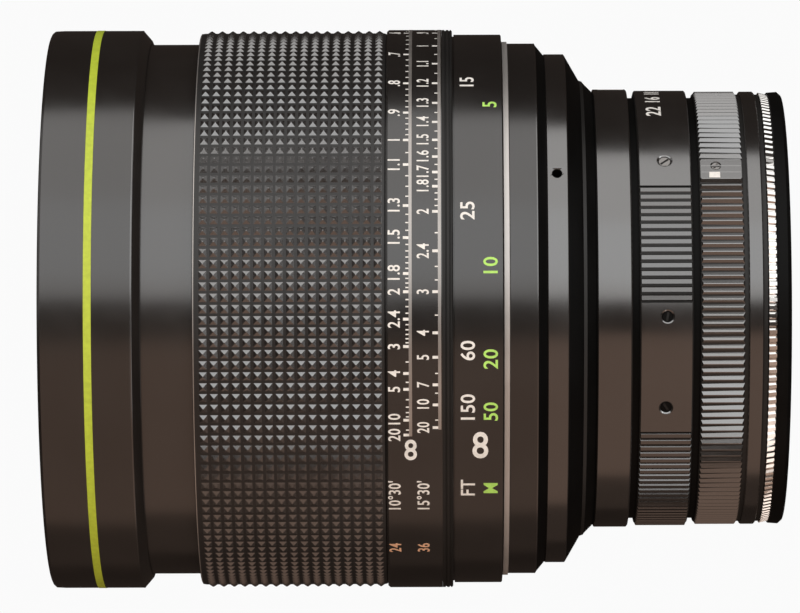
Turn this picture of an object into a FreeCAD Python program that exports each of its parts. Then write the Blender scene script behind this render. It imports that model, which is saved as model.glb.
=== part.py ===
import FreeCAD, Part
import math
import os
import re

import Sketcher

# A 135 mm telephoto lens for a single lens reflex camera, focused at about 3.3 m.
# The optical axis is X. The rear seating face is at x = 0 and the front of the lens points
# to -X. +Z is the top, where the index line of the focusing scale is.
# Stations are distances along X and are negative, because the lens lies in front of its mount.

doc = FreeCAD.newDocument("TelephotoLens")

SIZES = {
    # running fits and the gaps that let the rings turn
    "running_clearance": 0.08,
    "end_play": 0.1,
    "ring_gap": 1.0,
    # black end ring and bright mount ring
    "throat_radius": 22.6,
    "throat_lip": 2.0,
    "end_ring_length": 1.9,
    "end_ring_wall": 7.4,
    "chrome_ring_length": 1.2,
    "chrome_ring_wall": 5.3,
    # fixed rear barrel and the journal that the two rear rings turn on
    "journal_wall": 4.6,
    "rear_barrel_length": 4.65,
    "rear_barrel_rise": 1.2,
    "cone_toe_length": 1.3,
    "cone_toe_rise": 1.0,
    "cone_length": 2.65,
    "ring_two_length": 2.9,
    "ring_two_drop": 1.5,
    "groove_length": 1.15,
    "ring_one_length": 3.9,
    "ring_one_drop": 0.25,
    # lock ring with its ribs, its groove and its plain band
    "lock_ring_length": 9.0,
    "lock_ring_wall": 0.77,
    "lock_band_length": 2.55,
    "lock_groove_length": 0.45,
    "lock_groove_depth": 0.45,
    # aperture ring
    "aperture_ring_length": 7.2,
    "aperture_ring_wall": 0.92,
    "rib_count": 172,
    "rib_groove_depth": 0.35,
    "rib_groove_width": 0.75,
    "front_ribs_start": 3.0,
    "front_rib_count": 16,
    "under_ribs_start": -149.0,
    "under_rib_count": 57,
    "far_ribs_start": 146.0,
    "far_rib_count": 16,
    # helicoid tube, whose bright flange shows as the index line
    "index_flange_length": 0.7,
    "index_flange_rise": 0.3,
    "tube_wall": 1.3,
    # focusing ring with its distance scale and field scales
    "distance_ring_length": 6.75,
    "distance_ring_wall": 1.22,
    "field_band_length": 9.0,
    "field_band_rise": 0.7,
    "grip_length": 25.7,
    "grip_seat_wall": 0.67,
    "grip_wall": 1.1,
    "flute_count": 160,
    "flute_depth": 0.7,
    "flute_width": 0.95,
    # front barrel, its filter thread and its travel from the pose that is modelled
    "rest_extension": 5.8,
    "travel_clearance": 1.0,
    "hood_gap": 1.1,
    "thread_length": 3.4,
    "thread_radius": 35.7,
    "thread_wall": 1.05,
    "tail_wall": 2.75,
    "element_bay_length": 19.1,
    # guide key between the helicoid tube and the front barrel
    "key_width": 4.0,
    "key_height": 1.7,
    "key_length": 4.0,
    "key_sink": 0.4,
    "key_setback": 0.6,
    "slot_clearance": 0.1,
    # hood
    "hood_length": 13.7,
    "hood_wall": 1.92,
    "hood_lip": 1.3,
    "hood_front_chamfer": 0.8,
    "hood_rear_chamfer": 1.4,
    # front glass and the ring in front of it
    "name_ring_length": 5.0,
    "name_ring_lip": 0.5,
    "name_ring_step": 0.6,
    "name_ring_width": 4.1,
    "glass_setback": 0.4,
    "front_curve_radius": 90.0,
    "front_glass_thickness": 9.0,
    "air_gap": 0.8,
    "second_curve_radius": 78.0,
    "second_glass_thickness": 8.0,
    # rear cell and rear glass
    "cell_flange_length": 1.5,
    "cell_wall": 1.9,
    "cell_setback": 6.2,
    "rear_glass_thickness": 4.0,
    "rear_curve_radius": 70.0,
    "rear_glass_inset": 0.6,
    # iris
    "iris_bore_radius": 18.0,
    "iris_bay_clearance": 0.7,
    "blade_count": 6,
    "blade_thickness": 0.12,
    "blade_pitch": 0.25,
    "blade_gap": 0.1,
    "blade_bore_margin": 0.1,
    "blade_inset": 1.0,
    "blade_arc": 130.0,
    "blade_start": 6.0,
    "pivot_inset": 3.2,
    "pin_radius": 0.6,
    "pin_clearance": 0.1,
    "pivot_ear_radius": 1.5,
    "drive_arm": 3.0,
    "drive_ear_radius": 1.2,
    "pin_engagement": 0.8,
    "iris_ring_length": 1.2,
    "iris_ring_clearance": 0.3,
    "iris_ring_width": 5.4,
    # turns of the aperture ring and of what it drives, in degrees
    "aperture_turn": 49.3,
    "aperture_turn_at_rest": 27.0,
    "blade_ratio": 0.617,
    "iris_ring_ratio": 0.7,
}

RADII = {
    # rear end, from the throat outwards
    "mount_bore_radius": "throat_radius + throat_lip",
    "journal_radius": "mount_bore_radius + journal_wall",
    "rear_ring_bore": "journal_radius + running_clearance",
    "end_ring_radius": "throat_radius + end_ring_wall",
    "chrome_ring_radius": "mount_bore_radius + chrome_ring_wall",
    "lock_ring_radius": "rear_ring_bore + lock_ring_wall",
    "aperture_ring_radius": "rear_ring_bore + aperture_ring_wall",
    "rear_barrel_radius": "journal_radius + rear_barrel_rise",
    "cone_toe_radius": "rear_barrel_radius + cone_toe_rise",
    # front end, from the filter thread outwards
    "front_barrel_radius": "thread_radius + thread_wall",
    "focus_bore": "front_barrel_radius + running_clearance",
    "hood_radius": "focus_bore + hood_wall",
    "grip_seat_radius": "focus_bore + grip_seat_wall",
    "grip_radius": "grip_seat_radius + grip_wall",
    "distance_ring_radius": "focus_bore + distance_ring_wall",
    "field_band_radius": "distance_ring_radius + field_band_rise",
    "index_flange_radius": "front_barrel_radius + index_flange_rise",
    "ring_one_radius": "index_flange_radius - ring_one_drop",
    "ring_two_radius": "ring_one_radius - ring_two_drop",
    # front end, from the filter thread inwards
    "name_ring_radius": "thread_radius - name_ring_step",
    "front_glass_radius": "name_ring_radius - name_ring_width",
    "tail_bore_radius": "front_barrel_radius - tail_wall",
    "tube_radius": "tail_bore_radius - running_clearance",
    "tube_bore": "tube_radius - tube_wall",
    "key_foot": "tube_radius - key_sink",
    "cell_radius": "iris_bore_radius + cell_wall",
    # iris
    "iris_ring_radius": "tail_bore_radius - iris_ring_clearance",
    "iris_ring_bore_radius": "iris_ring_radius - iris_ring_width",
    "pivot_radius": "iris_ring_radius - pivot_inset",
    "blade_outer_radius": "pivot_radius - blade_inset",
}

STATIONS = {
    "flange_back": "-end_ring_length",
    "journal_back": "flange_back - chrome_ring_length",
    "lock_back": "journal_back - end_play",
    "lock_band_front": "lock_back - lock_band_length",
    "lock_ribs_back": "lock_band_front - lock_groove_length",
    "lock_front": "lock_back - lock_ring_length",
    "aperture_back": "lock_front - ring_gap",
    "aperture_front": "aperture_back - aperture_ring_length",
    "rear_barrel_back": "aperture_front - ring_gap",
    "cone_back": "rear_barrel_back - rear_barrel_length",
    "cone_break": "cone_back - cone_toe_length",
    "ring_two_back": "cone_break - cone_length",
    "ring_two_front": "ring_two_back - ring_two_length",
    "ring_one_back": "ring_two_front - groove_length",
    "ring_one_front": "ring_one_back - ring_one_length",
    "index_front": "ring_one_front - index_flange_length",
    "distance_back": "index_front - end_play",
    "band_back": "distance_back - distance_ring_length",
    "grip_back": "band_back - field_band_length",
    "grip_front": "grip_back - grip_length",
    "hood_back": "grip_front - hood_gap - rest_extension",
    "hood_front": "hood_back - hood_length",
    "barrel_front": "hood_front + hood_lip",
    "thread_back": "barrel_front + thread_length",
    "ring_seat": "thread_back + name_ring_length",
    "tail_step": "ring_seat + element_bay_length",
    "iris_ring_front": "tail_step + end_play",
    "iris_ring_back": "iris_ring_front + iris_ring_length",
    "level_zero": "iris_ring_back + blade_gap",
    "cell_front": "level_zero + blade_count * blade_pitch + iris_bay_clearance",
    "cell_flange_back": "cell_front + cell_flange_length",
    "tube_front": "cell_flange_back + rest_extension + travel_clearance",
    "barrel_back": "index_front - rest_extension - travel_clearance",
    "key_front": "tube_front + key_setback",
    "slot_front": "key_front - rest_extension - travel_clearance",
    "cell_back": "-rest_extension - cell_setback",
    "front_vertex": "thread_back + glass_setback",
    "second_vertex": "front_vertex + front_glass_thickness + air_gap",
    "rear_glass_back": "cell_back - rear_glass_inset",
}


def filled_sheet(name, cells):
    """A spreadsheet with one value a row, each cell named by its alias."""
    sheet = doc.addObject("Spreadsheet::Sheet", name)
    for row, (alias, text) in enumerate(cells.items(), start=1):
        sheet.set("A%d" % row, alias.replace("_", " "))
        sheet.set("B%d" % row, str(text))
        sheet.setAlias("B%d" % row, alias)
    doc.recompute()
    return sheet


def bound(text):
    """The text of a formula with each size, radius and station looked up in its sheet."""
    def looked_up(match):
        word = match.group()
        for sheet_name, cells in (("Sizes", SIZES), ("Radii", RADII), ("Stations", STATIONS)):
            if word in cells:
                return sheet_name + "." + word
        return word
    return re.sub(r"[a-z_]+", looked_up, text)


sizes = filled_sheet("Sizes", SIZES)
radii = filled_sheet("Radii", {name: "=" + bound(text) for name, text in RADII.items()})
stations = filled_sheet("Stations", {name: "=" + bound(text) for name, text in STATIONS.items()})


def value(text):
    """The number that a formula of sizes, radii and stations comes to."""
    return float(sizes.evalExpression(bound(text)))


def bind(thing, **formulas):
    """Ties properties of an object to formulas; a double underscore stands for a dot."""
    for name, text in formulas.items():
        thing.setExpression(name.replace("__", "."), bound(text))


def origin_feature(body, role):
    return [part for part in body.Origin.OriginFeatures if part.Role == role][0]


def close_outline(sketch, points):
    """Draws straight edges around the points and binds both coordinates of each of them."""
    corners = [FreeCAD.Vector(value(across), value(up), 0) for across, up in points]
    count = len(points)
    for index in range(count):
        edge = Part.LineSegment(corners[index], corners[(index + 1) % count])
        sketch.addGeometry(edge, False)
    for index in range(count):
        sketch.addConstraint(Sketcher.Constraint("Coincident", index, 2, (index + 1) % count, 1))
    for index, (across, up) in enumerate(points):
        corner = corners[index]
        for kind, text, start in (("DistanceX", across, corner.x), ("DistanceY", up, corner.y)):
            number = sketch.addConstraint(Sketcher.Constraint(kind, -1, 1, index, 1, start))
            sketch.setExpression("Constraints[%d]" % number, bound(text))


def sketch_on(body, name, plane, station="0 mm"):
    """A sketch on one of the body's own planes, moved along that plane's normal."""
    sketch = body.newObject("Sketcher::SketchObject", name)
    sketch.AttachmentSupport = [(origin_feature(body, plane), "")]
    sketch.MapMode = "FlatFace"
    bind(sketch, AttachmentOffset__Base__z=station)
    return sketch


def new_body(name):
    body = doc.addObject("PartDesign::Body", name)
    body.Label = name
    return body


def turn(body, name, points):
    """Adds a turning about the optical axis of an outline of stations and radii."""
    sketch = sketch_on(body, name + "_outline", "XZ_Plane")
    close_outline(sketch, points)
    turning = body.newObject("PartDesign::Revolution", name)
    turning.Profile = (sketch, [""])
    turning.ReferenceAxis = (origin_feature(body, "X_Axis"), [""])
    turning.Angle = 360


def turned(name, points):
    """A body that is one turning."""
    body = new_body(name)
    turn(body, name + "_turning", points)
    return body


def faceted(body, name, sides, radius, back, length):
    """Adds a prism about the optical axis, one flat a rib, in place of a round blank."""
    prism = body.newObject("PartDesign::AdditivePrism", name)
    prism.AttachmentSupport = [(origin_feature(body, "YZ_Plane"), "")]
    prism.MapMode = "FlatFace"
    bind(prism, Polygon=sides, Circumradius=radius, Height=length,
         AttachmentOffset__Base__z="%s - (%s)" % (back, length))


def pocketed(body, name, sketch, reversed_way=False, depth=None):
    """Cuts a sketch out of a body, and checks that something was cut."""
    doc.recompute()
    before = body.Shape.Volume
    cut = body.newObject("PartDesign::Pocket", name)
    cut.Profile = (sketch, [""])
    cut.Reversed = reversed_way
    if depth is None:
        cut.Type = "ThroughAll"
    else:
        bind(cut, Length=depth)
    doc.recompute()
    if body.Shape.Volume >= before:
        raise ValueError("%s cuts nothing" % name)
    return cut


def round_outline(sketch, radius, out=None):
    """Draws a circle about the optical axis, or at a distance out from it."""
    middle = FreeCAD.Vector(0 if out is None else value(out), 0, 0)
    sketch.addGeometry(Part.Circle(middle, FreeCAD.Vector(0, 0, 1), value(radius)), False)
    number = sketch.addConstraint(Sketcher.Constraint("Radius", 0, value(radius)))
    sketch.setExpression("Constraints[%d]" % number, bound(radius))
    if out is None:
        sketch.addConstraint(Sketcher.Constraint("Coincident", 0, 3, -1, 1))
        return
    sketch.addConstraint(Sketcher.Constraint("PointOnObject", 0, 3, -1))
    number = sketch.addConstraint(Sketcher.Constraint("DistanceX", -1, 1, 0, 3, value(out)))
    sketch.setExpression("Constraints[%d]" % number, bound(out))


def bored(body, name, radius):
    """Cuts a round bore on the optical axis through the whole body."""
    sketch = sketch_on(body, name + "_outline", "YZ_Plane")
    round_outline(sketch, radius)
    pocketed(body, name, sketch)


def repeated(body, name, feature, count, whole_angle):
    """Repeats a cut around the optical axis."""
    pattern = body.newObject("PartDesign::PolarPattern", name)
    pattern.Originals = [feature]
    pattern.Axis = (origin_feature(body, "X_Axis"), [""])
    bind(pattern, Occurrences=count, Angle=whole_angle)
    body.Tip = pattern


def ribbed(body, name, radius, depth, width, first_angle, count, whole_angle, back="0 mm"):
    """V grooves along the axis, cut forward from a station, that leave ribs between them."""
    sketch = sketch_on(body, name + "_outline", "YZ_Plane", back)
    point = "((%s) - (%s))" % (radius, depth)
    mouth = "((%s) + (%s))" % (radius, depth)
    cosine = "cos(%s)" % first_angle
    sine = "sin(%s)" % first_angle
    corners = []
    for out, across in ((point, "0"), (mouth, "(%s)" % width), (mouth, "(0 - (%s))" % width)):
        corners.append((
            "%s * %s - %s * %s" % (out, cosine, across, sine),
            "%s * %s + %s * %s" % (out, sine, across, cosine),
        ))
    close_outline(sketch, corners)
    cut = pocketed(body, name + "_groove", sketch)
    repeated(body, name, cut, count, whole_angle)


def along_axis(thing, station):
    """Turns a primitive so that its own Z lies along the optical axis, at a station."""
    thing.Placement = FreeCAD.Placement(
        FreeCAD.Vector(value(station), 0, 0), FreeCAD.Rotation(FreeCAD.Vector(0, 1, 0), 90))
    bind(thing, Placement__Base__x=station)


def disc(name, station, radius, thickness):
    thing = doc.addObject("Part::Cylinder", name)
    along_axis(thing, station)
    bind(thing, Radius=radius, Height=thickness)
    return thing


def ball(name, station, radius, seam_to_front=False):
    """A ball centred on the optical axis, its poles off the axis and its seam turned away."""
    thing = doc.addObject("Part::Sphere", name)
    turn_about_z = 180 if seam_to_front else 0
    thing.Placement = FreeCAD.Placement(
        FreeCAD.Vector(value(station), 0, 0), FreeCAD.Rotation(FreeCAD.Vector(0, 0, 1), turn_about_z))
    bind(thing, Radius=radius, Placement__Base__x=station)
    return thing


def boolean(kind, name, parts):
    thing = doc.addObject(kind, name)
    if kind == "Part::Cut":
        thing.Base, thing.Tool = parts
    else:
        thing.Shapes = parts
    return thing


# fixed rear barrel: both plain rings, the cone and the journal under the two rear rings
rear_barrel = turned("rear_barrel", [
    ("ring_one_front", "mount_bore_radius"),
    ("ring_one_front", "ring_one_radius"),
    ("ring_one_back", "ring_one_radius"),
    ("ring_two_front", "ring_two_radius"),
    ("ring_two_back", "ring_two_radius"),
    ("cone_break", "cone_toe_radius"),
    ("cone_back", "rear_barrel_radius"),
    ("rear_barrel_back", "rear_barrel_radius"),
    ("rear_barrel_back", "journal_radius"),
    ("journal_back", "journal_radius"),
    ("journal_back", "mount_bore_radius"),
])

# bright mount ring and black end ring with the seating face, behind the lock ring
chrome_mount_ring = turned("chrome_mount_ring", [
    ("journal_back", "mount_bore_radius"),
    ("journal_back", "chrome_ring_radius"),
    ("flange_back", "chrome_ring_radius"),
    ("flange_back", "mount_bore_radius"),
])
end_ring = turned("end_ring", [
    ("flange_back", "throat_radius"),
    ("flange_back", "end_ring_radius"),
    ("0 mm", "end_ring_radius"),
    ("0 mm", "throat_radius"),
])

# helicoid tube: its bright flange is clamped to the front of the rear barrel
helicoid_tube = turned("helicoid_tube", [
    ("tube_front", "tube_bore"),
    ("tube_front", "tube_radius"),
    ("index_front", "tube_radius"),
    ("index_front", "index_flange_radius"),
    ("ring_one_front", "index_flange_radius"),
    ("ring_one_front", "tube_bore"),
])

# guide key sunk into the top of the tube, which keeps the front barrel from turning
keyway = sketch_on(helicoid_tube, "keyway_outline", "XY_Plane", "key_foot")
close_outline(keyway, [
    ("key_front", "key_width / 2"),
    ("key_front + key_length", "key_width / 2"),
    ("key_front + key_length", "-key_width / 2"),
    ("key_front", "-key_width / 2"),
])
pocketed(helicoid_tube, "keyway", keyway, reversed_way=True, depth="key_sink")
guide_key = doc.addObject("Part::Box", "guide_key")
bind(guide_key, Length="key_length", Width="key_width", Height="key_height",
     Placement__Base__x="key_front", Placement__Base__y="-key_width / 2",
     Placement__Base__z="key_foot")

# lock ring: a ribbed length in front, a groove and a plain band
lock_ring = new_body("lock_ring")
faceted(lock_ring, "lock_blank", "rib_count", "lock_ring_radius",
        "lock_ribs_back", "lock_ring_length - lock_band_length - lock_groove_length")
turn(lock_ring, "lock_band", [
    ("lock_ribs_back - lock_groove_length", "rear_ring_bore"),
    ("lock_ribs_back - lock_groove_length", "lock_ring_radius - lock_groove_depth"),
    ("lock_band_front", "lock_ring_radius - lock_groove_depth"),
    ("lock_band_front", "lock_ring_radius"),
    ("lock_back", "lock_ring_radius"),
    ("lock_back", "rear_ring_bore"),
])
bored(lock_ring, "lock_bore", "rear_ring_bore")
ribbed(lock_ring, "lock_ribs", "lock_ring_radius", "rib_groove_depth", "rib_groove_width",
       "90 deg", "rib_count", "360 deg", back="lock_ribs_back")

# aperture ring: ribs in three lengths of the rim, and plain rim under the scale
aperture_ring = turned("aperture_ring", [
    ("aperture_front", "rear_ring_bore"),
    ("aperture_front", "aperture_ring_radius"),
    ("aperture_back", "aperture_ring_radius"),
    ("aperture_back", "rear_ring_bore"),
])
for zone in ("front", "under", "far"):
    ribbed(aperture_ring, zone + "_ribs", "aperture_ring_radius", "rib_groove_depth",
           "rib_groove_width", zone + "_ribs_start * 1 deg", zone + "_rib_count",
           "(%s_rib_count - 1) * 360 deg / rib_count" % zone)

# focusing ring: distance scale, field scales and the seat of the grip
focus_ring = turned("focus_ring", [
    ("grip_front", "focus_bore"),
    ("grip_front", "grip_seat_radius"),
    ("grip_back", "grip_seat_radius"),
    ("grip_back", "field_band_radius"),
    ("band_back", "field_band_radius"),
    ("band_back", "distance_ring_radius"),
    ("distance_back", "distance_ring_radius"),
    ("distance_back", "focus_bore"),
])
focus_grip = new_body("focus_grip")
faceted(focus_grip, "grip_blank", "flute_count", "grip_radius", "grip_back", "grip_length")
bored(focus_grip, "grip_bore", "grip_seat_radius")
ribbed(focus_grip, "grip_flutes", "grip_radius", "flute_depth", "flute_width",
       "90 deg", "flute_count", "360 deg")

# front barrel: filter thread, seat of the front glass and the tail that slides on the tube
front_barrel = turned("front_barrel", [
    ("barrel_front", "thread_radius"),
    ("barrel_front", "front_barrel_radius"),
    ("barrel_back", "front_barrel_radius"),
    ("barrel_back", "tail_bore_radius"),
    ("tail_step", "tail_bore_radius"),
    ("tail_step", "front_glass_radius"),
    ("ring_seat", "front_glass_radius"),
    ("ring_seat", "name_ring_radius"),
    ("thread_back", "name_ring_radius"),
    ("thread_back", "thread_radius"),
])
slot = sketch_on(front_barrel, "key_slot_outline", "XY_Plane")
slot_half = "key_width / 2 + slot_clearance"
close_outline(slot, [
    ("slot_front", slot_half),
    ("barrel_back + travel_clearance", slot_half),
    ("barrel_back + travel_clearance", "-(%s)" % slot_half),
    ("slot_front", "-(%s)" % slot_half),
])
pocketed(front_barrel, "key_slot", slot, reversed_way=True,
         depth="key_foot + key_height + slot_clearance")

name_ring = turned("name_ring", [
    ("ring_seat - name_ring_lip", "front_glass_radius"),
    ("thread_back", "name_ring_radius"),
    ("ring_seat", "name_ring_radius"),
    ("ring_seat", "front_glass_radius"),
])

# rear cell: its flange closes the iris bay and its tube carries the rear glass
rear_cell = turned("rear_cell", [
    ("cell_front", "iris_bore_radius"),
    ("cell_front", "tail_bore_radius"),
    ("cell_flange_back", "tail_bore_radius"),
    ("cell_flange_back", "cell_radius"),
    ("cell_back", "cell_radius"),
    ("cell_back", "iris_bore_radius"),
])
pivot_hole = sketch_on(rear_cell, "pivot_hole_outline", "YZ_Plane", "cell_front")
round_outline(pivot_hole, "pin_radius + pin_clearance", out="pivot_radius")
pivot_cut = pocketed(rear_cell, "pivot_hole", pivot_hole, reversed_way=True,
                     depth="pin_engagement + pin_clearance")
repeated(rear_cell, "pivot_holes", pivot_cut, "blade_count", "360 deg")

# hood that slides on the front barrel
hood = turned("hood", [
    ("hood_front", "focus_bore"),
    ("hood_front", "hood_radius - hood_front_chamfer"),
    ("hood_front + hood_front_chamfer", "hood_radius"),
    ("hood_back - hood_rear_chamfer", "hood_radius"),
    ("hood_back", "hood_radius - hood_rear_chamfer"),
    ("hood_back", "focus_bore"),
])

# glass: biconvex, plano-convex and hollow pieces cut from discs by balls
front_element = boolean("Part::MultiCommon", "front_element", [
    disc("front_disc", "front_vertex", "front_glass_radius", "front_glass_thickness"),
    ball("front_ball", "front_vertex + front_curve_radius", "front_curve_radius"),
])
second_element = boolean("Part::MultiCommon", "second_element", [
    disc("second_disc", "second_vertex", "front_glass_radius", "second_glass_thickness"),
    ball("second_ball", "second_vertex + second_curve_radius", "second_curve_radius"),
])
rear_element = boolean("Part::MultiCommon", "rear_element", [
    disc("rear_disc", "rear_glass_back - rear_glass_thickness", "iris_bore_radius",
         "rear_glass_thickness"),
    ball("rear_ball", "rear_glass_back - rear_curve_radius", "rear_curve_radius", seam_to_front=True),
])

# iris: six blades, each on its own level, with a pivot pin in the rear cell's flange
# and a drive pin in a slot of the iris ring
to_axis = FreeCAD.Rotation(FreeCAD.Vector(1, 1, 1), 120)
blade_turn_at_rest = value("aperture_turn_at_rest * blade_ratio")


def iris_blade(index):
    """A blade drawn flat, its pivot on the first axis, then stood in its place.

    Its plane lies at height zero, its pivot pin points to the rear and its drive pin forward.
    """
    prefix = "blade_%d_" % (index + 1)
    level = "(level_zero + %d * blade_pitch)" % index

    def upright(name, radius, foot, height, out="0", across="0"):
        cylinder = doc.addObject("Part::Cylinder", prefix + name)
        bind(cylinder, Radius=radius, Height=height, Placement__Base__x=out,
             Placement__Base__y=across, Placement__Base__z=foot)
        return cylinder

    whole = upright("sector", "blade_outer_radius", "0", "blade_thickness")
    bind(whole, Angle="blade_arc + blade_start")
    whole.Placement.Rotation = FreeCAD.Rotation(FreeCAD.Vector(0, 0, 1), -value("blade_start"))
    middle = upright("middle", "iris_bore_radius + blade_bore_margin", "0", "blade_thickness")
    ring = boolean("Part::Cut", prefix + "ring", (whole, middle))
    pivot_depth = "cell_front + pin_engagement - %s" % level
    drive_depth = "%s - iris_ring_front" % level
    pieces = [
        ring,
        upright("pivot_ear", "pivot_ear_radius", "0", "blade_thickness", out="pivot_radius"),
        upright("drive_ear", "drive_ear_radius", "0", "blade_thickness",
                out="pivot_radius", across="-drive_arm"),
        upright("pivot_pin", "pin_radius", "0", pivot_depth, out="pivot_radius"),
        upright("drive_pin", "pin_radius", "-(%s)" % drive_depth, "%s + blade_thickness" % drive_depth,
                out="pivot_radius", across="-drive_arm"),
    ]
    arm = doc.addObject("Part::Box", prefix + "arm")
    bind(arm, Length="2 * drive_ear_radius", Width="drive_arm", Height="blade_thickness",
         Placement__Base__x="pivot_radius - drive_ear_radius", Placement__Base__y="-drive_arm")
    blade = boolean("Part::MultiFuse", "iris_blade_%d" % (index + 1), pieces + [arm])
    blade.Refine = True
    pivot = FreeCAD.Vector(value("pivot_radius"), 0, 0)
    about_z = FreeCAD.Vector(0, 0, 1)
    closed_a_little = FreeCAD.Placement(
        FreeCAD.Vector(0, 0, 0), FreeCAD.Rotation(about_z, blade_turn_at_rest), pivot)
    around = FreeCAD.Placement(
        FreeCAD.Vector(0, 0, 0), FreeCAD.Rotation(about_z, index * 360 / value("blade_count")))
    onto_axis = FreeCAD.Placement(FreeCAD.Vector(value(level), 0, 0), to_axis)
    blade.Placement = onto_axis.multiply(around).multiply(closed_a_little)
    return blade


iris_blades = [iris_blade(index) for index in range(int(value("blade_count")))]


def drive_pin_place(aperture_turned):
    """Where a drive pin stands in the iris ring's own frame, at a turn of the aperture ring.

    The blades swing one way about the optical axis as the iris ring turns the other way.
    """
    swing = math.radians(aperture_turned * value("blade_ratio"))
    out = value("pivot_radius") + value("drive_arm") * math.sin(swing)
    across = -value("drive_arm") * math.cos(swing)
    from_rest = aperture_turned - value("aperture_turn_at_rest")
    back = math.radians(from_rest * value("iris_ring_ratio"))
    return FreeCAD.Vector(
        out * math.cos(back) - across * math.sin(back),
        out * math.sin(back) + across * math.cos(back),
        0)


def slot_face():
    """A slot along the drive pin's path: two arcs beside the path, closed by half circles."""
    whole = value("aperture_turn")
    half_width = value("pin_radius + pin_clearance")
    places = [drive_pin_place(whole * part) for part in (0, 0.5, 1)]
    centre = Part.Arc(*places).toShape().Curve.Center
    outward = [(place - centre).normalize() * half_width for place in places]
    outer = [place + step for place, step in zip(places, outward)]
    inner = [place - step for place, step in zip(places, outward)]
    along = (places[2] - places[0]).normalize() * half_width
    edges = [
        Part.Arc(outer[0], outer[1], outer[2]),
        Part.Arc(outer[2], places[2] + along, inner[2]),
        Part.Arc(inner[2], inner[1], inner[0]),
        Part.Arc(inner[0], places[0] - along, outer[0]),
    ]
    return Part.Face(Part.Wire([edge.toShape() for edge in edges]))


def iris_ring_shape():
    ring_length = value("iris_ring_length")
    up = FreeCAD.Vector(0, 0, 1)
    origin = FreeCAD.Vector(0, 0, 0)
    ring = Part.makeCylinder(value("iris_ring_radius"), ring_length)
    ring = ring.cut(Part.makeCylinder(value("iris_ring_bore_radius"), ring_length))
    slots = []
    for index in range(int(value("blade_count"))):
        slot_solid = slot_face().extrude(FreeCAD.Vector(0, 0, ring_length))
        slot_solid.rotate(origin, up, index * 360 / value("blade_count"))
        slots.append(slot_solid)
    return ring.cut(slots)


iris_ring = doc.addObject("Part::Feature", "iris_ring")
iris_ring.Shape = iris_ring_shape()
iris_ring.Placement = FreeCAD.Placement(FreeCAD.Vector(value("iris_ring_front"), 0, 0), to_axis)

# every piece is written under its own name once all of them are sound
PIECES = [
    rear_barrel, chrome_mount_ring, end_ring, helicoid_tube, guide_key,
    lock_ring, aperture_ring,
    focus_ring, focus_grip,
    front_barrel, name_ring, front_element, second_element, rear_cell, rear_element,
    hood, iris_ring,
] + iris_blades

doc.recompute()
for thing in doc.Objects:
    if "Invalid" in thing.State or "Error" in thing.State:
        raise ValueError("%s could not be worked out" % thing.Name)
for piece in PIECES:
    piece.Label = piece.Name
    if piece.Shape.isNull() or not piece.Shape.isValid() or len(piece.Shape.Solids) != 1:
        raise ValueError("%s isn't one sound solid" % piece.Label)

os.makedirs("parts", exist_ok=True)
for piece in PIECES:
    piece.Shape.exportStep("parts/%s.step" % piece.Label)
print("%d pieces written" % len(PIECES))
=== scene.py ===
"""Looks of a 135 mm telephoto lens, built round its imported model.

The optical axis is X, the front of the lens points to -X, +Z is the top and -Y is the side
that the photograph shows. Outlines are in millimetres; every mesh is in metres.
An angle round the axis starts at the top and grows towards the photographed side.
"""
import math
from functools import partial

import bmesh
import bpy
from bpy.props import FloatProperty, FloatVectorProperty, IntProperty, PointerProperty
from mathutils import Matrix, Vector


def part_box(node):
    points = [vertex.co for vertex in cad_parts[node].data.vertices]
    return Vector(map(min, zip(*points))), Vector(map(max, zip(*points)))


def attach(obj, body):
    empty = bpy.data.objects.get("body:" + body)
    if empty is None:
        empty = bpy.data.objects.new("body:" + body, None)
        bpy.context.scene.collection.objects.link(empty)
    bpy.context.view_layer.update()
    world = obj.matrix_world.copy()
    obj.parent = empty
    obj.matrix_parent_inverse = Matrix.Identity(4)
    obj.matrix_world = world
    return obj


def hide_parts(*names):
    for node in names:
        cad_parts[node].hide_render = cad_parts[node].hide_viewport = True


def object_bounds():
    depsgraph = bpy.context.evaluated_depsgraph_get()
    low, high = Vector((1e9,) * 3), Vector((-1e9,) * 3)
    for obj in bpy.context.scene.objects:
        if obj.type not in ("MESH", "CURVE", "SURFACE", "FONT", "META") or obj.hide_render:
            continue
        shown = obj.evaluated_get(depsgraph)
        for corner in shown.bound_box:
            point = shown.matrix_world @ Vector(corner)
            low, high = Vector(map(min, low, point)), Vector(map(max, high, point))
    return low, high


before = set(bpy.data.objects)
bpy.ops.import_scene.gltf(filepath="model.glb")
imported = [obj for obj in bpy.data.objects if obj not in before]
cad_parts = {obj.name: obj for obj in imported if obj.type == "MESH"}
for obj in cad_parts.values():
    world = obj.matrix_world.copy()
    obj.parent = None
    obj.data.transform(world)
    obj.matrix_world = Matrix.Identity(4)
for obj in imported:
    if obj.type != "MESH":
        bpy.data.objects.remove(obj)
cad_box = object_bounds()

bl_info = {
    "name": "Telephoto Lens",
    "version": (1, 0, 0),
    "blender": (4, 5, 0),
    "location": "3D View > Sidebar > Lens",
    "description": "Builds a telephoto lens with its scales, studded grip and ribbed rings",
    "category": "Add Mesh",
}

MM = 0.001
ROUND_STEPS = 288
SMOOTH_BELOW = math.radians(20)
HAIR = 0.02                     # millimetres kept between a piece and what it lies in

# Bore radii of the solids, in millimetres
GRIP_BORE = 37.5
BARREL_BORE = 36.83
REAR_RING_BORE = 29.28
FIXED_BORE = 24.6
THROAT = 22.6

# The studio: middle of the lens and the white round it
MIDDLE = -0.05
PALE = (0.96, 0.96, 0.96, 1)


# Sizes and colours that a user may change

def millimetres(label, about, default):
    """A length whose default is given in millimetres."""
    return FloatProperty(name=label, description=about, default=default * MM, unit="LENGTH")


def degrees(label, about, default):
    return FloatProperty(name=label, description=about + ", in degrees", default=default)


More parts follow.
